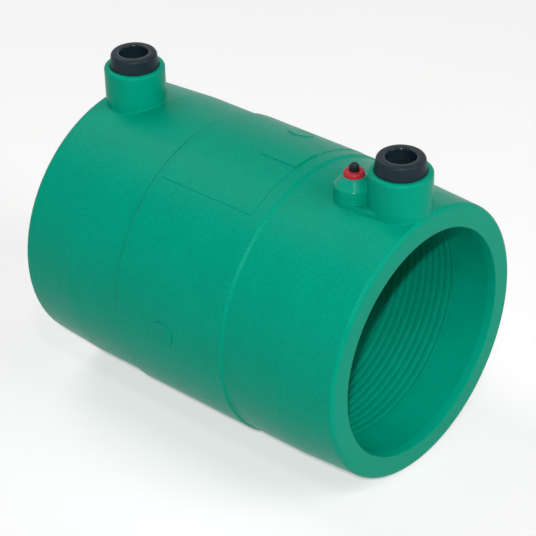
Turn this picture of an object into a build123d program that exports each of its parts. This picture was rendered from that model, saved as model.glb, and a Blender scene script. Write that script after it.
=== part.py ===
from build123d import *
import os

# Electrofusion coupler for 75 mm plastic pipe, in millimetres.
# The pipe axis is X, with the indicator end at +X, and the two terminals point up along +Z.
# The origin is on the pipe axis, halfway between the two mouths.

# ---- Pipe and sleeve -------------------------------------------------------
pipe_od = 75.0
socket_clearance = 0.5          # radial gap between the pipe and the smooth bore
sleeve_length = 130.5
wall = 9.25                     # thickness of the sleeve's parallel part
mouth_wall = 8.1                # thickness at the mouth, past the outer taper
taper_length = 21.0             # outer taper at each end
mouth_edge = 1.4                # rounding of the outer edge of each mouth
lead_in_depth = 2.6
lead_in_rise = 0.55             # how far the lead-in opens the mouth, on the radius
stop_width = 4.0
stop_height = 2.5               # how far the pipe stop stands in from the bore

# ---- Raised middle band and its marks --------------------------------------
band_length = 44.0
band_height = 0.65
band_ramp = 0.9                 # axial run of the step at each edge of the band
panel_margin_left = 1.6         # bare strip between the panel and the band's edges
panel_margin_right = 4.7
panel_height = 0.15
panel_angles = (-32.0, 62.0)    # round the sleeve, from +Z towards +Y
plate_length = 14.3
plate_height = 0.35
plate_angles = (-5.0, 7.5)
gate_mark_r = 4.3
gate_mark_height = 0.3
gate_marks = ((-2.0, -90.0), (0.5, 23.0))    # place along the pipe and angle round it

# ---- Heating wire ----------------------------------------------------------
coated_wire = 2.53              # thickness of the coated wire, and so the pitch of its turns
wire_turns = 10                 # turns in each socket
cold_mouth = 15.6               # smooth bore between the mouth and the first turn
crest_rise = 0.2                # crests of the turns stand in from the smooth bore
valley_drop = 0.1               # valleys between turns lie out from the smooth bore
winding_depth = 2.2             # how deep the winding sits in the wall
lead_r = 0.9                    # the straight stretches of coated wire inside the wall
lead_sink = 0.4                 # how far those stretches merge into the turns below them

# ---- Terminals -------------------------------------------------------------
shroud_r = 10.05
shroud_to_mouth = 0.35          # bare edge between the shroud and the mouth
shroud_rise = 11.8              # rim of the shroud above the parallel part of the sleeve
shroud_rim_round = 1.0
shroud_root = 5.0               # how deep the shroud's cylinder runs into the wall
insert_r = 8.15
insert_clearance = 0.05
insert_rise = 4.75              # black insert above the shroud's rim
insert_top_r = 7.5
insert_edge = 1.2
insert_seat = 1.2               # underside of the insert below the sleeve's outer radius
insert_floor = 3.0
terminal_hole_r = 4.75
terminal_hole_edge = 0.4
contact_r = 2.35
contact_recess = 5.0            # tip of the contact below the insert's top
contact_tip_edge = 0.5
contact_flange_r = 3.2
contact_flange = 1.0
contact_stem_r = 1.4
contact_shank_r = 2.75          # thicker shank held by the insert's floor

# ---- Fusion indicator ------------------------------------------------------
indicator_to_terminal = 13.75   # indicator axis to terminal axis, along the pipe
indicator_offset = 5.0          # indicator axis to the terminals' plane, towards -Y
boss_r = 6.45
boss_rise = 4.3                 # rim of the boss above the sleeve
web_rise = 0.25                 # low web between boss and shroud, above the sleeve
cone_rise = 3.0
cone_top_r = 3.5
collar_r = 3.35
collar_height = 1.7
collar_edge = 0.9
spigot_r = 2.6
spigot_length = 8.0
pin_r = 1.55
pin_clearance = 0.15
pin_rise = 2.1                  # tip of the pin above the collar
pin_tip_edge = 0.5
pin_head_r = 2.3
pin_head = 1.2
pin_travel = 3.0
pin_stop_gap = 0.1              # left between the head and the spigot at full travel

# ---- Places worked out from the sizes above --------------------------------
bore_r = pipe_od / 2 + socket_clearance
sleeve_r = bore_r + wall
mouth_r = bore_r + mouth_wall
half = sleeve_length / 2
band_half = band_length / 2
band_r = sleeve_r + band_height
stop_half = stop_width / 2
stop_r = bore_r - stop_height

winding_outer = bore_r + winding_depth
winding_end = half - cold_mouth
winding_start = winding_end - wire_turns * coated_wire
lead_z = winding_outer + lead_r - lead_sink

terminal_x = half - shroud_to_mouth - shroud_r
shroud_top = sleeve_r + shroud_rise
insert_top = shroud_top + insert_rise
insert_bottom = sleeve_r - insert_seat
floor_top = insert_bottom + insert_floor
pocket_r = insert_r + insert_clearance
contact_top = insert_top - contact_recess

indicator_x = terminal_x - indicator_to_terminal
boss_top = sleeve_r + boss_rise
cone_top = boss_top + cone_rise
collar_top = cone_top + collar_height
spigot_bottom = cone_top - spigot_length
chamber_floor = spigot_bottom - pin_stop_gap - pin_travel - pin_head
pin_top = collar_top + pin_rise


def turned(points, axis=Axis.X):
    """Solid of revolution of a closed outline given as (along, radius) points."""
    return revolve(make_face(Polyline(*points, close=True)), axis)


def upright(points, x, y=0.0):
    """Turned solid on a vertical axis through (x, y), from (radius, height) points."""
    outline = make_face(Polyline(*points, close=True))
    return Pos(x, y, 0) * revolve(Plane.XZ * outline, Axis.Z)


def sector(x_start, x_end, inner, outer, angles):
    """Curved slab on the sleeve between two angles, which count from +Z towards +Y."""
    low, high = angles
    outline = Pos((x_start + x_end) / 2, (inner + outer) / 2) * Rectangle(x_end - x_start, outer - inner)
    slab = revolve(outline, Axis.X, revolution_arc=high - low)
    return Rot(90 - high, 0, 0) * slab


# ---- Sleeve body, with shrouds, indicator boss and band moulded on ----------
def sleeve_blank():
    """Outside of the sleeve, tapered at the mouths and stepped up to the band."""
    ramp_foot = band_half + band_ramp
    taper_start = half - taper_length
    outline = [(-half, 0), (-half, mouth_r), (-taper_start, sleeve_r), (-ramp_foot, sleeve_r)]
    outline += [(-band_half, band_r), (band_half, band_r)]
    outline += [(ramp_foot, sleeve_r), (taper_start, sleeve_r), (half, mouth_r), (half, 0)]
    face = make_face(Polyline(*outline, close=True))
    mouth_corners = face.vertices().filter_by(lambda v: abs(v.Y - mouth_r) < 0.01)
    return revolve(fillet(mouth_corners, mouth_edge), Axis.X)


def sleeve_cavity():
    """Both sockets with their lead-ins and winding beds, parted by the pipe stop."""
    through = Rot(0, 90, 0) * Cylinder(stop_r, sleeve_length + 2)
    depth = half - lead_in_depth
    points = [(stop_half, 0), (stop_half, bore_r), (winding_start, bore_r), (winding_start, winding_outer)]
    points += [(winding_end, winding_outer), (winding_end, bore_r), (depth, bore_r)]
    points += [(half, bore_r + lead_in_rise), (half + 1, bore_r + lead_in_rise), (half + 1, 0)]
    socket = turned(points)
    return through + socket + mirror(socket, Plane.YZ)


def shroud(x):
    """Round terminal shroud, rooted in the wall, with its outer rim rounded."""
    root = sleeve_r - shroud_root
    post = Pos(x, 0, (root + shroud_top) / 2) * Cylinder(shroud_r, shroud_top - root)
    rim = post.edges().filter_by(GeomType.CIRCLE).sort_by(Axis.Z)[-1]
    return fillet(rim, shroud_rim_round)


def indicator_boss():
    """Round boss with a cone on top, joined at its foot to the +X shroud by a low web."""
    root = sleeve_r - shroud_root
    web_top = sleeve_r + web_rise
    boss_circle = Pos(indicator_x, -indicator_offset) * Circle(boss_r)
    shroud_circle = Pos(terminal_x, 0) * Circle(shroud_r)
    footprint = make_hull([boss_circle.edge(), shroud_circle.edge()])
    web = Pos(0, 0, root) * extrude(footprint, web_top - root)
    profile = [(0, root), (boss_r, root), (boss_r, boss_top), (cone_top_r, cone_top), (0, cone_top)]
    return web + upright(profile, indicator_x, -indicator_offset)


def band_marks():
    """Bare panel, bare plate on it and two round gate marks, all raised on the band."""
    left = -band_half + panel_margin_left
    right = band_half - panel_margin_right
    core = band_r - 1.0
    panel_r = band_r + panel_height
    marks = [sector(left, right, core, panel_r, panel_angles)]
    marks.append(sector(right - plate_length, right, core, panel_r + plate_height, plate_angles))
    for x, angle in gate_marks:
        disc = Pos(x, 0, band_r) * Cylinder(gate_mark_r, 2 * gate_mark_height)
        marks.append(Rot(-angle, 0, 0) * disc)
    return marks


def terminal_pocket(x):
    """Room for the black insert, and for the flange and stem of the contact below it."""
    flange_bottom = insert_bottom - contact_flange
    points = [(0, lead_z), (contact_stem_r, lead_z), (contact_stem_r, flange_bottom)]
    points += [(contact_flange_r, flange_bottom), (contact_flange_r, insert_bottom)]
    points += [(pocket_r, insert_bottom), (pocket_r, shroud_top + 1), (0, shroud_top + 1)]
    return upright(points, x)


def indicator_well():
    """Blind hole for the collar's spigot, with the pin's chamber below it."""
    height = cone_top + 1 - chamber_floor
    return Pos(indicator_x, -indicator_offset, chamber_floor + height / 2) * Cylinder(spigot_r, height)


# ---- Heating wire: one coated wire, wound in both sockets -------------------
def winding():
    """Touching turns of the coated wire in the +X socket, as one ridged sleeve."""
    points = [(winding_end, winding_outer), (winding_start, winding_outer), (winding_start, bore_r)]
    for turn in range(wire_turns):
        foot = winding_start + turn * coated_wire
        points.append((foot + coated_wire / 2, bore_r - crest_rise))
        if turn < wire_turns - 1:
            points.append((foot + coated_wire, bore_r + valley_drop))
    points.append((winding_end, bore_r))
    return turned(points)


def wire_stretch(x_start, x_end):
    """Straight stretch of the wire inside the wall, along the pipe."""
    run = Rot(0, 90, 0) * Cylinder(lead_r, x_end - x_start)
    return Pos((x_start + x_end) / 2, 0, lead_z) * run


def wire_leads():
    """The stretch across the pipe stop, and one out to each contact's stem."""
    reach = terminal_x - contact_stem_r
    inside = winding_end - coated_wire
    across = wire_stretch(-winding_start - coated_wire, winding_start + coated_wire)
    return [across, wire_stretch(inside, reach), wire_stretch(-reach, -inside)]


# ---- Terminal pieces ---------------------------------------------------------
def terminal_insert(x):
    """Black cup that lines the shroud, with a floor that the contact stands through."""
    outline = [(contact_shank_r, insert_bottom), (insert_r, insert_bottom), (insert_r, shroud_top)]
    outline += [(insert_top_r, insert_top), (terminal_hole_r + terminal_hole_edge, insert_top)]
    outline += [(terminal_hole_r, insert_top - terminal_hole_edge)]
    outline += [(terminal_hole_r, floor_top), (contact_shank_r, floor_top)]
    face = make_face(Polyline(*outline, close=True))
    corner = face.vertices().sort_by_distance((insert_top_r, insert_top))[0]
    cup = revolve(Plane.XZ * fillet(corner, insert_edge), Axis.Z)
    return Pos(x, 0, 0) * cup


def contact_pin(x):
    """Turned brass contact: stem to the wire, flange under the insert, shank, plain pin."""
    flange_bottom = insert_bottom - contact_flange
    points = [(0, lead_z), (contact_stem_r, lead_z), (contact_stem_r, flange_bottom)]
    points += [(contact_flange_r, flange_bottom), (contact_flange_r, insert_bottom)]
    points += [(contact_shank_r, insert_bottom), (contact_shank_r, floor_top), (contact_r, floor_top)]
    points.append((contact_r, contact_top - contact_tip_edge))
    points += [(contact_r - contact_tip_edge, contact_top), (0, contact_top)]
    return upright(points, x)


# ---- Indicator pieces ----------------------------------------------------------
def indicator_collar():
    """Red collar with a rounded top and a spigot pressed into the boss."""
    hole_r = pin_r + pin_clearance
    outline = [(hole_r, spigot_bottom), (spigot_r, spigot_bottom), (spigot_r, cone_top)]
    outline += [(collar_r, cone_top), (collar_r, collar_top), (hole_r, collar_top)]
    face = make_face(Polyline(*outline, close=True))
    edge = face.vertices().sort_by_distance((collar_r, collar_top))[0]
    ring = revolve(Plane.XZ * fillet(edge, collar_edge), Axis.Z)
    return Pos(indicator_x, -indicator_offset, 0) * ring


def indicator_pin():
    """Black pin whose head waits on the chamber floor and stops against the spigot."""
    head_top = chamber_floor + pin_head
    points = [(0, chamber_floor), (pin_head_r, chamber_floor), (pin_head_r, head_top)]
    points += [(pin_r, head_top), (pin_r, pin_top - pin_tip_edge)]
    points += [(pin_r - pin_tip_edge, pin_top), (0, pin_top)]
    return upright(points, indicator_x, -indicator_offset)


# ---- Assembly --------------------------------------------------------------------
wire = winding() + mirror(winding(), Plane.YZ) + wire_leads()
body = sleeve_blank() + band_marks() + shroud(terminal_x) + shroud(-terminal_x) + indicator_boss()
body -= sleeve_cavity()
for x in (terminal_x, -terminal_x):
    body -= terminal_pocket(x)
body -= indicator_well()
for stretch in wire_leads():
    body -= stretch

parts = {
    "sleeve_body": body,
    "heating_wire": wire,
    "terminal_insert_left": terminal_insert(-terminal_x),
    "terminal_insert_right": terminal_insert(terminal_x),
    "contact_pin_left": contact_pin(-terminal_x),
    "contact_pin_right": contact_pin(terminal_x),
    "indicator_collar": indicator_collar(),
    "indicator_pin": indicator_pin(),
}

os.makedirs("parts", exist_ok=True)
for name, shape in parts.items():
    export_step(shape, f"parts/{name}.step")
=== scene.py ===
from math import cos, radians, sin

import bpy
import numpy as np
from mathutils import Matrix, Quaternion, Vector


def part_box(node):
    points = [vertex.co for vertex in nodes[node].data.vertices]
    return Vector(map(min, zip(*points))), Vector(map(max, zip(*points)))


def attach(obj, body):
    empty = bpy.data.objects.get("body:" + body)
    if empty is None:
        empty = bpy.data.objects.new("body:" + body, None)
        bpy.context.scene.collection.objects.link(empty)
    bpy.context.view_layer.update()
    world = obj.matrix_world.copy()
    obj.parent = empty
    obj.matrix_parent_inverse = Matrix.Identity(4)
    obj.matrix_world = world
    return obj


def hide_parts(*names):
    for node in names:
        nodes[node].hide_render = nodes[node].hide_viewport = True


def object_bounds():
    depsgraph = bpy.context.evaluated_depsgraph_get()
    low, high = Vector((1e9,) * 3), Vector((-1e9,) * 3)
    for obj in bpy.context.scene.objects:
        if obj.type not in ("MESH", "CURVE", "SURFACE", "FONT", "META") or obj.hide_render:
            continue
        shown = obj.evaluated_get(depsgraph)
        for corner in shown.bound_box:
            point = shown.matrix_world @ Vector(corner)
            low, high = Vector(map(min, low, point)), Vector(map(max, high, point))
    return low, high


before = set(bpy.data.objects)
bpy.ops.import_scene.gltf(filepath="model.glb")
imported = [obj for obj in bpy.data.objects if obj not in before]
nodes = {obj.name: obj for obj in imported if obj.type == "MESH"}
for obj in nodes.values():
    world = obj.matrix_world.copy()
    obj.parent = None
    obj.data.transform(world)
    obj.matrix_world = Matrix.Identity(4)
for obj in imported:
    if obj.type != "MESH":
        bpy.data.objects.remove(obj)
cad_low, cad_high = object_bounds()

MM = 0.001


# ---- Heating wire ------------------------------------------------------------
# Resistance wire coated in the same green plastic and wound on the mould's core, turn
# against turn. The sleeve is moulded over it, so only the inner side of the turns shows,
# as a fine helix of low ridges in each socket, with the leads buried in the wall.
bore_r = 38.0 * MM
winding_r = 40.2 * MM            # back of the turns, inside the wall
coated_wire = 2.53 * MM          # thickness of the coated wire, and so the pitch of its turns
wire_turns = 10                  # in each socket
crest_rise = 0.16 * MM
valley_drop = 0.08 * MM
crest_power = 2.4                # 2 is a parabola, and more flattens the crests
rows_a_turn = 12
steps_round = 160
lead_r = 0.9 * MM
lead_steps = 16
lead_end = 1e-3                  # share of its radius to which a lead's end closes
lead_reach = 53.45 * MM          # from the middle of the coupler to a contact's stem
cold_mouth = 15.6 * MM           # smooth bore between the mouth and the first turn
wire_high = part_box("heating_wire")[1]
winding_end = cad_high.x - cold_mouth
winding_start = winding_end - wire_turns * coated_wire
lead_z = wire_high.z - lead_r
drift_per_mm = 0.11              # the melt wets the turns unevenly, over some 9 mm
drag_per_mm = 3.3                # real drag marks are 0.05 mm, drawn 0.3 mm so they show


def tint(code):
    """Linear RGBA of an sRGB hex colour: each channel goes through the sRGB curve."""
    srgb = np.array([int(code[i:i + 2], 16) for i in (1, 3, 5)]) / 255
    linear = np.where(srgb <= 0.04045, srgb / 12.92, ((srgb + 0.055) / 1.055) ** 2.4)
    return (*linear.tolist(), 1.0)


def add(tree, kind, settings=None, links=None):
    """Adds one node. A lower-case name sets a property, any other name or number an input."""
    node = tree.nodes.new(kind)
    for name, value in (settings or {}).items():
        if isinstance(name, str) and name[0].islower():
            setattr(node, name, value)
        else:
            node.inputs[name].default_value = value
    for name, socket in (links or {}).items():
        tree.links.new(socket, node.inputs[name])
    return node


def bare_material(name):
    """New material, its emptied node tree, and the Object coordinates in it."""
    material = bpy.data.materials.new(name)
    material.use_nodes = True
    tree = material.node_tree
    tree.nodes.clear()
    place = add(tree, "ShaderNodeTexCoord").outputs["Object"]
    return material, tree, place


def closed_grid(points):
    """Vertices and quads of a surface that closes both ways.

    points[j, i] is the grid point on row j and column i. Each quad joins (j, i),
    (j, i+1), (j+1, i+1) and (j+1, i), and the last row and column join the first.
    """
    rows, columns = points.shape[:2]
    index = np.arange(rows * columns).reshape(rows, columns)
    right = np.roll(index, -1, axis=1)
    below = np.roll(index, -1, axis=0)
    quads = np.stack([index, right, np.roll(right, -1, axis=0), below], axis=-1)
    return points.reshape(-1, 3), quads.reshape(-1, 4)


def wound_sleeve(side):
    """Helical ridges of one winding, closed by the smooth back of the turns.

    The inner radius is the bore less the crest's rise at the middle of a turn. It grows
    with a power of the distance from there, out to a sharp valley between turns. The
    phase is the run along the pipe over the pitch less the angle over a full turn. Half a
    turn at each end fades into the smooth bore. side is 1 for +X, -1 for the mirror image.
    """
    run = np.linspace(0, 1, rows_a_turn * wire_turns + 1)[:, None]
    angle = np.linspace(0, 2 * np.pi, steps_round, endpoint=False)[None, :]
    along = winding_start + run * (winding_end - winding_start)
    phase = ((along - winding_start) / coated_wire - angle / (2 * np.pi)) % 1.0
    from_crest = np.abs(2 * phase - 1)
    ridge = (crest_rise + valley_drop) * from_crest ** crest_power - crest_rise
    fade = np.clip(np.minimum(run, 1 - run) * wire_turns * 2, 0, 1)
    inner = bore_r + fade * ridge
    back = np.full((2, steps_round), winding_r)
    radius = np.vstack([inner, back])
    ends = np.array([[winding_end], [winding_start]])
    x = np.vstack([along, ends]) * side + 0 * angle
    return np.stack([x, radius * np.sin(angle), radius * np.cos(angle)], axis=-1)


def straight_lead(x_start, x_end):
    """Round rod along the pipe at the leads' height: a circle at each end, closed at a point."""
    angle = np.linspace(0, 2 * np.pi, lead_steps, endpoint=False)[None, :]
    x = np.array([x_start, x_start, x_end, x_end])[:, None] + 0 * angle
    radius = np.array([lead_end, 1, 1, lead_end])[:, None] * lead_r
    return np.stack([x, radius * np.sin(angle), lead_z + radius * np.cos(angle)], axis=-1)


def smooth_mesh(name, grids):
    """One smooth-shaded object from several closed grids, with faces pointing outwards."""
    vertices, quads, count = [], [], 0
    for grid in grids:
        points, faces = closed_grid(grid)
        corners = points[faces]
        volume = (corners[:, 0] * np.cross(corners[:, 1], corners[:, 2])).sum()
        volume += (corners[:, 0] * np.cross(corners[:, 2], corners[:, 3])).sum()
        vertices.append(points)
        quads.append((faces if volume > 0 else faces[:, ::-1]) + count)
        count += len(points)
    mesh = bpy.data.meshes.new(name)
    mesh.from_pydata(np.vstack(vertices).tolist(), [], np.vstack(quads).tolist())
    mesh.shade_smooth()
    piece = bpy.data.objects.new(name, mesh)
    bpy.context.scene.collection.objects.link(piece)
    return piece


def coated_wire_plastic():
    """Moulded-over polypropylene coating: the sleeve's green, a little deeper and smoother."""
    material, tree, place = bare_material("polypropylene_wire_coating")
    drift = add(tree, "ShaderNodeTexNoise", {"Scale": drift_per_mm / MM, "Detail": 2.0},
                {"Vector": place})
    tone = add(tree, "ShaderNodeMix", {"data_type": "RGBA", 6: tint("#008C72"), 7: tint("#00967A")},
               {0: drift.outputs["Fac"]})
    gloss = add(tree, "ShaderNodeMapRange", {"To Min": 0.40, "To Max": 0.52},
                {"Value": drift.outputs["Fac"]})
    # The drag marks run along the pipe.
    stretch = add(tree, "ShaderNodeMapping", {"Scale": (0.08, 1.0, 1.0)}, {"Vector": place})
    drag = add(tree, "ShaderNodeTexNoise", {"Scale": drag_per_mm / MM, "Detail": 1.0},
               {"Vector": stretch.outputs["Vector"]})
    relief = add(tree, "ShaderNodeBump", {"Strength": 0.12, "Distance": 0.02 * MM},
                 {"Height": drag.outputs["Fac"]})
    shader = add(tree, "ShaderNodeBsdfPrincipled",
                 {"IOR": 1.49, "Specular IOR Level": 0.06, "Specular Tint": tint("#D8F4EC")},
                 {"Base Color": tone.outputs[2], "Roughness": gloss.outputs["Result"],
                  "Normal": relief.outputs["Normal"]})
    add(tree, "ShaderNodeOutputMaterial", links={"Surface": shader.outputs["BSDF"]})
    return material


wound_wire = smooth_mesh("heating_wire_wound", [
    wound_sleeve(1),
    wound_sleeve(-1),
    straight_lead(-winding_start - coated_wire, winding_start + coated_wire),
    straight_lead(winding_end - coated_wire, lead_reach),
    straight_lead(-lead_reach, coated_wire - winding_end),
])
wound_wire.data.materials.append(coated_wire_plastic())
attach(wound_wire, "coupler")
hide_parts("heating_wire")


# ---- Contact pins --------------------------------------------------------------
# Turned brass pins, one welded to each end of the wire, which stand up in the terminals.
# The fusion machine's plug slides over them. They show only from above, down the holes.
ring_scale = 1.05 / MM           # rings 0.3 mm apart: a unit of the wave texture has 3.2 bands
stain_per_mm = 0.7               # handling stains, some 1.4 mm across


def turned_brass():
    """Turned brass: warm metal with fine rings from the tool all the way round."""
    material, tree, place = bare_material("turned_brass")
    # The real feed marks are 0.05 mm apart, and drawn coarser so that they show.
    rings = add(tree, "ShaderNodeTexWave",
                {"bands_direction": "Z", "Scale": ring_scale, "Distortion": 0.6, "Detail": 1.0},
                {"Vector": place})
    stain = add(tree, "ShaderNodeTexNoise", {"Scale": stain_per_mm / MM, "Detail": 3.0},
                {"Vector": place})
    tone = add(tree, "ShaderNodeMix", {"data_type": "RGBA", 6: tint("#B8924A"), 7: tint("#E0C27A")},
               {0: stain.outputs["Fac"]})
    gloss = add(tree, "ShaderNodeMapRange", {"To Min": 0.18, "To Max": 0.36},
                {"Value": stain.outputs["Fac"]})
    relief = add(tree, "ShaderNodeBump", {"Strength": 0.3, "Distance": 0.01 * MM},
                 {"Height": rings.outputs["Fac"]})
    shader = add(tree, "ShaderNodeBsdfPrincipled", {"Metallic": 1.0},
                 {"Base Color": tone.outputs[2], "Roughness": gloss.outputs["Result"],
                  "Normal": relief.outputs["Normal"]})
    add(tree, "ShaderNodeOutputMaterial", links={"Surface": shader.outputs["BSDF"]})
    return material


brass = turned_brass()
for name in ("contact_pin_left", "contact_pin_right"):
    nodes[name].material_slots[0].material = brass


# ---- Sleeve body -----------------------------------------------------------------
# One injection moulding in green polypropylene random copolymer, with the terminal
# shrouds, the indicator boss and the raised band on it. The tool is spark-eroded on the
# outside of the sleeve, and smooth at the shrouds, the boss, the mouths and the bore.
band_r = cad_high.y              # the sleeve's radius at the raised band, bare of its marks
sparked_r = 48.3 * MM            # what stands further out is a shroud, the boss or a mark's edge
mouth_skin_r = 45.9 * MM         # what lies nearer the axis is the mouth's face or the bore
skin_blend = 0.2 * MM
boss_x = 41.1 * MM
boss_y = -5.0 * MM
cone_start = 51.6 * MM           # just above the foot of the cone
cone_base_r = 6.4 * MM
feet_start = 30.0 * MM           # the shrouds and the boss stand further out than this
feet_floor = 40.0 * MM           # and higher than this
mouth_start = 62.0 * MM
fine_edge = 0.3 * MM
soft_edge = 0.8 * MM             # at the mouths and round the feet of the shrouds and the boss
pits_per_mm = 1.5                # spark-eroded pits are 0.1 mm, drawn 0.7 mm so that they show
pit_depth = 0.13 * MM
sinks_per_mm = 0.08              # the moulding shrank unevenly, over some 12 mm
sink_depth = 0.08 * MM


def sparked_skin(tree, place):
    """1 on the sparked skin and 0 on the smooth parts, told by the distance from the axis."""
    across = add(tree, "ShaderNodeVectorMath", {"operation": "MULTIPLY", 1: (0, 1, 1)}, {0: place})
    radius = add(tree, "ShaderNodeVectorMath", {"operation": "LENGTH"}, {0: across.outputs["Vector"]})
    past_mouth = add(tree, "ShaderNodeMapRange",
                     {"From Min": mouth_skin_r, "From Max": mouth_skin_r + skin_blend},
                     {"Value": radius.outputs["Value"]})
    on_sleeve = add(tree, "ShaderNodeMath", {"operation": "LESS_THAN", 1: sparked_r},
                    {0: radius.outputs["Value"]})
    sparked = add(tree, "ShaderNodeMath", {"operation": "MULTIPLY"},
                  {0: past_mouth.outputs["Result"], 1: on_sleeve.outputs["Value"]})
    return sparked.outputs["Value"]


def moulded_edges(tree, axes):
    """Normal that turns every edge over a small radius, because moulded edges aren't sharp."""
    span = add(tree, "ShaderNodeMath", {"operation": "ABSOLUTE"}, {0: axes.outputs["X"]})
    past_band = add(tree, "ShaderNodeMath", {"operation": "GREATER_THAN", 1: feet_start},
                    {0: span.outputs["Value"]})
    on_top = add(tree, "ShaderNodeMath", {"operation": "GREATER_THAN", 1: feet_floor},
                 {0: axes.outputs["Z"]})
    at_feet = add(tree, "ShaderNodeMath", {"operation": "MULTIPLY"},
                  {0: past_band.outputs["Value"], 1: on_top.outputs["Value"]})
    at_mouth = add(tree, "ShaderNodeMath", {"operation": "GREATER_THAN", 1: mouth_start},
                   {0: span.outputs["Value"]})
    rounded = add(tree, "ShaderNodeMath", {"operation": "MAXIMUM"},
                  {0: at_feet.outputs["Value"], 1: at_mouth.outputs["Value"]})
    turn_radius = add(tree, "ShaderNodeMapRange", {"To Min": fine_edge, "To Max": soft_edge},
                      {"Value": rounded.outputs["Value"]})
    edges = add(tree, "ShaderNodeBevel", {"samples": 8}, {"Radius": turn_radius.outputs["Result"]})
    return edges.outputs["Normal"]


def polished_cone(tree, place, axes):
    """1 on the cone round the indicator, which is above the boss and near its axis, else 0."""
    above_boss = add(tree, "ShaderNodeMath", {"operation": "GREATER_THAN", 1: cone_start},
                     {0: axes.outputs["Z"]})
    from_boss = add(tree, "ShaderNodeVectorMath", {"operation": "SUBTRACT", 1: (boss_x, boss_y, 0)},
                    {0: place})
    level = add(tree, "ShaderNodeVectorMath", {"operation": "MULTIPLY", 1: (1, 1, 0)},
                {0: from_boss.outputs["Vector"]})
    boss_far = add(tree, "ShaderNodeVectorMath", {"operation": "LENGTH"}, {0: level.outputs["Vector"]})
    on_cone = add(tree, "ShaderNodeMath", {"operation": "LESS_THAN", 1: cone_base_r},
                  {0: boss_far.outputs["Value"]})
    polished = add(tree, "ShaderNodeMath", {"operation": "MULTIPLY"},
                   {0: above_boss.outputs["Value"], 1: on_cone.outputs["Value"]})
    return polished.outputs["Value"]


def moulded_polypropylene():
    """Green polypropylene: matt where the tool was sparked, with painted shade in its pits and painted
    light on their peaks, satin where it was smooth, and a polished cone round the indicator."""
    material, tree, place = bare_material("polypropylene_moulded_green")
    axes = add(tree, "ShaderNodeSeparateXYZ", links={"Vector": place})
    sparked = sparked_skin(tree, place)
    polished = polished_cone(tree, place, axes)
    pits = add(tree, "ShaderNodeTexNoise",
               {"Scale": pits_per_mm / MM, "Detail": 2.0, "Roughness": 0.65}, {"Vector": place})
    sink = add(tree, "ShaderNodeTexNoise", {"Scale": sinks_per_mm / MM, "Detail": 2.0},
               {"Vector": place})
    # Relief: the pits on the sparked skin, and the slow unevenness everywhere.
    pit_height = add(tree, "ShaderNodeMath", {"operation": "MULTIPLY"},
                     {0: pits.outputs["Fac"], 1: sparked})
    grain = add(tree, "ShaderNodeBump", {"Strength": 1.0, "Distance": pit_depth},
                {"Height": pit_height.outputs["Value"], "Normal": moulded_edges(tree, axes)})
    wavy = add(tree, "ShaderNodeBump", {"Strength": 0.25, "Distance": sink_depth},
               {"Height": sink.outputs["Fac"], "Normal": grain.outputs["Normal"]})
    # Colour: painted shade darkens the pits and painted light brightens their peaks a little, and the
    # pigment drifts slowly.
    tone = add(tree, "ShaderNodeMix", {"data_type": "RGBA", 6: tint("#009478"), 7: tint("#009C80")},
               {0: sink.outputs["Fac"]})
    # Painted shade and light: the colour follows the pits' height, darker low and lighter high.
    pit_painted_shade = add(tree, "ShaderNodeMapRange",
                  {"From Min": 0.3, "From Max": 0.7, "To Min": 0.88, "To Max": 1.06},
                  {"Value": pits.outputs["Fac"]})
    shade = add(tree, "ShaderNodeMix", {"data_type": "FLOAT", 2: 1.0},
                {0: sparked, 3: pit_painted_shade.outputs["Result"]})
    colour = add(tree, "ShaderNodeVectorMath", {"operation": "SCALE"},
                 {0: tone.outputs[2], "Scale": shade.outputs[0]})
    # Roughness: 0.30 on smooth skin, 0.32 on the sparked skin, 0.19 on the polished cone.
    skin = add(tree, "ShaderNodeMapRange", {"To Min": 0.30, "To Max": 0.32}, {"Value": sparked})
    patchy = add(tree, "ShaderNodeMapRange", {"To Min": -0.04, "To Max": 0.04},
                 {"Value": sink.outputs["Fac"]})
    uneven = add(tree, "ShaderNodeMath", {"operation": "ADD"},
                 {0: skin.outputs["Result"], 1: patchy.outputs["Result"]})
    gloss = add(tree, "ShaderNodeMix", {"data_type": "FLOAT", 3: 0.19},
                {0: polished, 2: uneven.outputs["Value"]})
    shine = add(tree, "ShaderNodeMapRange", {"To Min": 0.055, "To Max": 0.18}, {"Value": polished})
    shader = add(tree, "ShaderNodeBsdfPrincipled",
                 {"IOR": 1.49, "Specular Tint": tint("#D8F4EC")},
                 {"Base Color": colour.outputs["Vector"], "Roughness": gloss.outputs[0],
                  "Specular IOR Level": shine.outputs["Result"],
                  "Normal": wavy.outputs["Normal"]})
    add(tree, "ShaderNodeOutputMaterial", links={"Surface": shader.outputs["BSDF"]})
    return material


nodes["sleeve_body"].material_slots[0].material = moulded_polypropylene()


# ---- Terminal inserts --------------------------------------------------------------
# Cups of black glass-filled nylon, moulded apart and pressed into the shrouds. They guide
# the plug onto the pin. The rim is rounded, and the skin is satin with a faint fibre grain.
insert_low, insert_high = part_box("terminal_insert_right")
terminal_x = (insert_low.x + insert_high.x) / 2
guide_r = 5.7 * MM               # the hole and its rounded edge, polished to guide the plug
guide_depth = 3.0 * MM
rim_edge = 0.7 * MM
flecks_per_mm = 3.6              # fibres are 0.01 mm thick, drawn as 0.3 mm flecks so they show
clouds_per_mm = 0.42             # the gloss of the skin changes over some 2 mm


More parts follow.
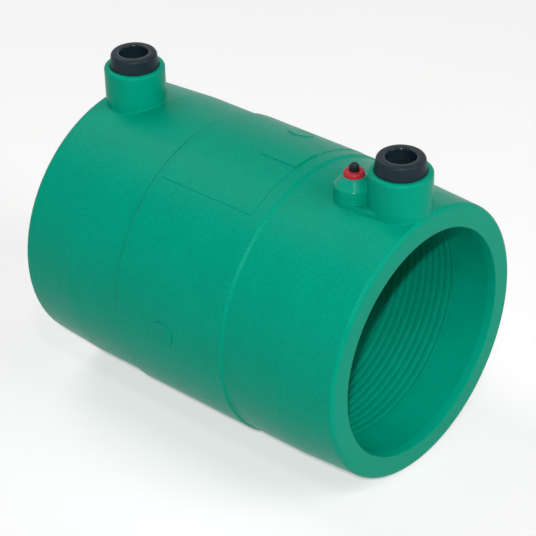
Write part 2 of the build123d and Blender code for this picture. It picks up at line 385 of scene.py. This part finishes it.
def plug_guide(tree, place):
    """1 at the top of the holes and 0 elsewhere. Both terminals fold onto one."""
    axes = add(tree, "ShaderNodeSeparateXYZ", links={"Vector": place})
    folded = add(tree, "ShaderNodeVectorMath", {"operation": "ABSOLUTE"}, {0: place})
    centred = add(tree, "ShaderNodeVectorMath", {"operation": "SUBTRACT", 1: (terminal_x, 0, 0)},
                  {0: folded.outputs["Vector"]})
    level = add(tree, "ShaderNodeVectorMath", {"operation": "MULTIPLY", 1: (1, 1, 0)},
                {0: centred.outputs["Vector"]})
    off_axis = add(tree, "ShaderNodeVectorMath", {"operation": "LENGTH"}, {0: level.outputs["Vector"]})
    inside = add(tree, "ShaderNodeMath", {"operation": "LESS_THAN", 1: guide_r},
                 {0: off_axis.outputs["Value"]})
    high = add(tree, "ShaderNodeMath",
               {"operation": "GREATER_THAN", 1: insert_high.z - guide_depth},
               {0: axes.outputs["Z"]})
    guide = add(tree, "ShaderNodeMath", {"operation": "MULTIPLY"},
                {0: inside.outputs["Value"], 1: high.outputs["Value"]})
    return guide.outputs["Value"]


def filled_nylon():
    """Black glass-filled nylon: blue-black, satin, with short fibres just under the skin.
    The edge of the hole, which guides the plug, is polished."""
    material, tree, place = bare_material("nylon_glass_filled_black")
    guide = plug_guide(tree, place)
    fibres = add(tree, "ShaderNodeTexVoronoi", {"Scale": flecks_per_mm / MM, "Randomness": 1.0},
                 {"Vector": place})
    cloud = add(tree, "ShaderNodeTexNoise", {"Scale": clouds_per_mm / MM, "Detail": 3.0},
                {"Vector": place})
    tone = add(tree, "ShaderNodeMix", {"data_type": "RGBA", 6: tint("#142229"), 7: tint("#1A2C34")},
               {0: cloud.outputs["Fac"]})
    satin = add(tree, "ShaderNodeMapRange", {"To Min": 0.30, "To Max": 0.50},
                {"Value": cloud.outputs["Fac"]})
    gloss = add(tree, "ShaderNodeMix", {"data_type": "FLOAT", 3: 0.17},
                {0: guide, 2: satin.outputs["Result"]})
    shine = add(tree, "ShaderNodeMapRange", {"To Min": 0.12, "To Max": 0.16}, {"Value": guide})
    edges = add(tree, "ShaderNodeBevel", {"samples": 8, "Radius": rim_edge})
    relief = add(tree, "ShaderNodeBump", {"Strength": 0.25, "Distance": 0.02 * MM},
                 {"Height": fibres.outputs["Distance"], "Normal": edges.outputs["Normal"]})
    shader = add(tree, "ShaderNodeBsdfPrincipled", {"IOR": 1.53},
                 {"Base Color": tone.outputs[2], "Roughness": gloss.outputs[0],
                  "Specular IOR Level": shine.outputs["Result"],
                  "Normal": relief.outputs["Normal"]})
    add(tree, "ShaderNodeOutputMaterial", links={"Surface": shader.outputs["BSDF"]})
    return material


nylon = filled_nylon()
for name in ("terminal_insert_left", "terminal_insert_right"):
    nodes[name].material_slots[0].material = nylon


# ---- Fusion indicator: collar --------------------------------------------------------
# A small red collar with a rounded shoulder, pressed into the boss. It is there to be
# seen, and it guides the pin that the melt pushes up when the joint has fused.
peel_per_mm = 1.6                # waves of orange peel, some 0.6 mm long
red_drift_per_mm = 0.3           # the pigment drifts over some 3 mm


def indicator_red():
    """Red moulded polypropylene: satin, with a soft drift of tone and a faint orange peel."""
    material, tree, place = bare_material("polypropylene_moulded_red")
    peel = add(tree, "ShaderNodeTexNoise", {"Scale": peel_per_mm / MM, "Detail": 1.0},
               {"Vector": place})
    drift = add(tree, "ShaderNodeTexNoise", {"Scale": red_drift_per_mm / MM, "Detail": 1.0},
                {"Vector": place})
    tone = add(tree, "ShaderNodeMix", {"data_type": "RGBA", 6: tint("#A82834"), 7: tint("#B4323C")},
               {0: drift.outputs["Fac"]})
    gloss = add(tree, "ShaderNodeMapRange", {"To Min": 0.30, "To Max": 0.44},
                {"Value": peel.outputs["Fac"]})
    relief = add(tree, "ShaderNodeBump", {"Strength": 0.3, "Distance": 0.02 * MM},
                 {"Height": peel.outputs["Fac"]})
    shader = add(tree, "ShaderNodeBsdfPrincipled", {"IOR": 1.49, "Specular IOR Level": 0.15},
                 {"Base Color": tone.outputs[2], "Roughness": gloss.outputs["Result"],
                  "Normal": relief.outputs["Normal"]})
    add(tree, "ShaderNodeOutputMaterial", links={"Surface": shader.outputs["BSDF"]})
    return material


nodes["indicator_collar"].material_slots[0].material = indicator_red()


# ---- Fusion indicator: pin -------------------------------------------------------------
# A black moulded pin that slides in the collar. Before fusion only its tip shows.
# It came off its core lengthwise, so its skin is scuffed along it.
scuffs_per_mm = 4.0              # round the pin: real scuffs are finer, and wouldn't show


def indicator_black():
    """Black moulded polypropylene: nearly neutral, satin, with fine marks along its length."""
    material, tree, place = bare_material("polypropylene_moulded_black")
    stretch = add(tree, "ShaderNodeMapping", {"Scale": (1.0, 1.0, 0.15)}, {"Vector": place})
    scuff = add(tree, "ShaderNodeTexNoise", {"Scale": scuffs_per_mm / MM, "Detail": 2.0},
                {"Vector": stretch.outputs["Vector"]})
    tone = add(tree, "ShaderNodeMix", {"data_type": "RGBA", 6: tint("#0C1818"), 7: tint("#142222")},
               {0: scuff.outputs["Fac"]})
    gloss = add(tree, "ShaderNodeMapRange", {"To Min": 0.32, "To Max": 0.52},
                {"Value": scuff.outputs["Fac"]})
    relief = add(tree, "ShaderNodeBump", {"Strength": 0.2, "Distance": 0.02 * MM},
                 {"Height": scuff.outputs["Fac"]})
    shader = add(tree, "ShaderNodeBsdfPrincipled", {"IOR": 1.49, "Specular IOR Level": 0.15},
                 {"Base Color": tone.outputs[2], "Roughness": gloss.outputs["Result"],
                  "Normal": relief.outputs["Normal"]})
    add(tree, "ShaderNodeOutputMaterial", links={"Surface": shader.outputs["BSDF"]})
    return material


nodes["indicator_pin"].material_slots[0].material = indicator_black()


# ---- Floor -------------------------------------------------------------------------------
# A plain pale sheet that the sleeve's raised band rests on. It takes the object's shadow.
# Seen directly it has a little light of its own, so that it reads as clean white.
floor_z = -band_r
floor_reach = 12.0
mottle_per_mm = 0.009            # the tone drifts over some 110 mm
lamps_reach = 0.6                # the lamps light the sheet this far out
glow_full = 2.2                  # and from here on its own light stands in for them
near_glow = 0.44
far_glow = 0.90
low_lamp_start = -0.02           # the low lamp brightens the sheet towards -Y, from here
low_lamp_full = -0.12            # to here, where its own light is down by the low lamp's share
low_lamp_share = 0.07


def own_light(tree, place):
    """Strength of the sheet's own light. It grows with the distance beyond the lamps' reach,
    less what the low lamp adds on the near side, so that the whole sheet looks even."""
    distance = add(tree, "ShaderNodeVectorMath", {"operation": "LENGTH"}, {0: place})
    outward = add(tree, "ShaderNodeMapRange",
                  {"From Min": lamps_reach, "From Max": glow_full, "To Min": near_glow,
                   "To Max": far_glow},
                  {"Value": distance.outputs["Value"]})
    axes = add(tree, "ShaderNodeSeparateXYZ", links={"Vector": place})
    near_side = add(tree, "ShaderNodeMapRange",
                    {"From Min": low_lamp_start, "From Max": low_lamp_full, "To Min": 0.0,
                     "To Max": low_lamp_share},
                    {"Value": axes.outputs["Y"]})
    even = add(tree, "ShaderNodeMath", {"operation": "SUBTRACT"},
               {0: outward.outputs["Result"], 1: near_side.outputs["Result"]})
    return even.outputs["Value"]


def seen_directly(tree):
    """1 for what the camera sees itself, in a mirror or through glass, and 0 for the rest."""
    path = add(tree, "ShaderNodeLightPath")
    shiny = add(tree, "ShaderNodeMath", {"operation": "MAXIMUM"},
                {0: path.outputs["Is Glossy Ray"], 1: path.outputs["Is Transmission Ray"]})
    direct = add(tree, "ShaderNodeMath", {"operation": "MAXIMUM"},
                 {0: path.outputs["Is Camera Ray"], 1: shiny.outputs["Value"]})
    return direct.outputs["Value"]


def pale_sheet():
    """Matt white paper sheet, with a faint mottle."""
    material, tree, place = bare_material("matt_white_sheet")
    mottle = add(tree, "ShaderNodeTexNoise", {"Scale": mottle_per_mm / MM, "Detail": 2.0},
                 {"Vector": place})
    tone = add(tree, "ShaderNodeMix", {"data_type": "RGBA", 6: tint("#D0D0D0"), 7: tint("#D4D4D4")},
               {0: mottle.outputs["Fac"]})
    sheet = add(tree, "ShaderNodeBsdfDiffuse", links={"Color": tone.outputs[2]})
    glow = add(tree, "ShaderNodeEmission", {"Color": (1, 1, 1, 1)},
               {"Strength": own_light(tree, place)})
    lit = add(tree, "ShaderNodeAddShader", links={0: sheet.outputs["BSDF"],
                                                  1: glow.outputs["Emission"]})
    mix = add(tree, "ShaderNodeMixShader", links={0: seen_directly(tree), 1: sheet.outputs["BSDF"],
                                                  2: lit.outputs["Shader"]})
    add(tree, "ShaderNodeOutputMaterial", links={"Surface": mix.outputs["Shader"]})
    return material


corners = [(-floor_reach, -floor_reach, floor_z), (floor_reach, -floor_reach, floor_z),
           (floor_reach, floor_reach, floor_z), (-floor_reach, floor_reach, floor_z)]
sheet_mesh = bpy.data.meshes.new("floor")
sheet_mesh.from_pydata(corners, [], [(0, 1, 2, 3)])
sheet_mesh.materials.append(pale_sheet())
floor = bpy.data.objects.new("floor", sheet_mesh)
bpy.context.scene.collection.objects.link(floor)


# ---- Light ---------------------------------------------------------------------------------
# A small key lamp close above the camera, which throws the narrow shadow inside the mouth,
# and a small one that sparks on the cone. Wide soft panels fill from the left, the right
# and low in front, a weak warm one hangs over the right, and the room behind is soft white.
def outward(azimuth, elevation):
    """Unit vector from the origin at that azimuth from -Y towards +X, and that elevation."""
    turn, rise = radians(azimuth), radians(elevation)
    return Vector((sin(turn) * cos(rise), -cos(turn) * cos(rise), sin(rise)))


def aimed(name, data, spot, back, roll=0.0):
    """Object at a spot that looks against back, turned about its own axis by roll degrees."""
    holder = bpy.data.objects.new(name, data)
    holder.rotation_mode = "QUATERNION"
    tilt = Quaternion((0, 0, 1), radians(roll))
    holder.rotation_quaternion = (-back).to_track_quat("-Z", "Y") @ tilt
    holder.location = spot
    bpy.context.scene.collection.objects.link(holder)
    return holder


def lamp(name, azimuth, elevation, distance, size, power, colour="#FFFFFF"):
    """Square area lamp aimed at the origin: degrees, then metres, then watts."""
    light = bpy.data.lights.new(name, "AREA")
    light.size = size
    light.energy = power
    light.color = tint(colour)[:3]
    back = outward(azimuth, elevation)
    aimed(name, light, back * distance, back)


lamp("key", azimuth=39.0, elevation=38.5, distance=1.5, size=0.035, power=12.0)
lamp("spark", azimuth=44.0, elevation=54.5, distance=1.5, size=0.16, power=2.0)
lamp("high_left", azimuth=-92.0, elevation=54.0, distance=1.2, size=0.6, power=4.0)
lamp("right", azimuth=100.0, elevation=35.0, distance=1.2, size=0.6, power=5.4)
lamp("low_left", azimuth=-8.0, elevation=4.0, distance=1.4, size=0.8, power=3.1)
lamp("warm_ceiling", azimuth=87.0, elevation=67.0, distance=1.6, size=0.05, power=0.5,
     colour="#FFE0A0")

world = bpy.data.worlds.new("soft_white_room")
world.use_nodes = True
room = world.node_tree
room.nodes.clear()
heading = add(room, "ShaderNodeTexCoord")
split = add(room, "ShaderNodeSeparateXYZ", links={"Vector": heading.outputs["Generated"]})
height = add(room, "ShaderNodeMapRange",
             {"From Min": -0.2, "From Max": 0.9, "To Min": 0.02, "To Max": 0.06},
             {"Value": split.outputs["Z"]})
walls = add(room, "ShaderNodeBackground", {"Color": (1, 1, 1, 1)},
            {"Strength": height.outputs["Result"]})
backdrop = add(room, "ShaderNodeBackground", {"Color": tint("#FCFCFC"), "Strength": 1.0})
shown = add(room, "ShaderNodeMixShader", links={0: seen_directly(room),
                                                1: walls.outputs["Background"],
                                                2: backdrop.outputs["Background"]})
add(room, "ShaderNodeOutputWorld", links={"Surface": shown.outputs["Shader"]})
bpy.context.scene.world = world


# ---- Camera --------------------------------------------------------------------------------
# A long lens from in front of the +X mouth and above, turned slightly about its own axis.
# It looks at a point just off the middle of the coupler.
camera_azimuth = 41.07
camera_elevation = 33.24
camera_roll = -1.36
camera_distance = 659.8 * MM
aim = Vector((0.33, 1.11, 0.95)) * MM

lens = bpy.data.cameras.new("camera")
lens.sensor_width = 36.0
lens.lens = 134.26
lens.clip_start = 0.01
lens.clip_end = 50.0
camera_back = outward(camera_azimuth, camera_elevation)
camera = aimed("camera", lens, aim + camera_back * camera_distance, camera_back, camera_roll)
bpy.context.scene.camera = camera
bpy.context.scene.view_settings.view_transform = "Standard"
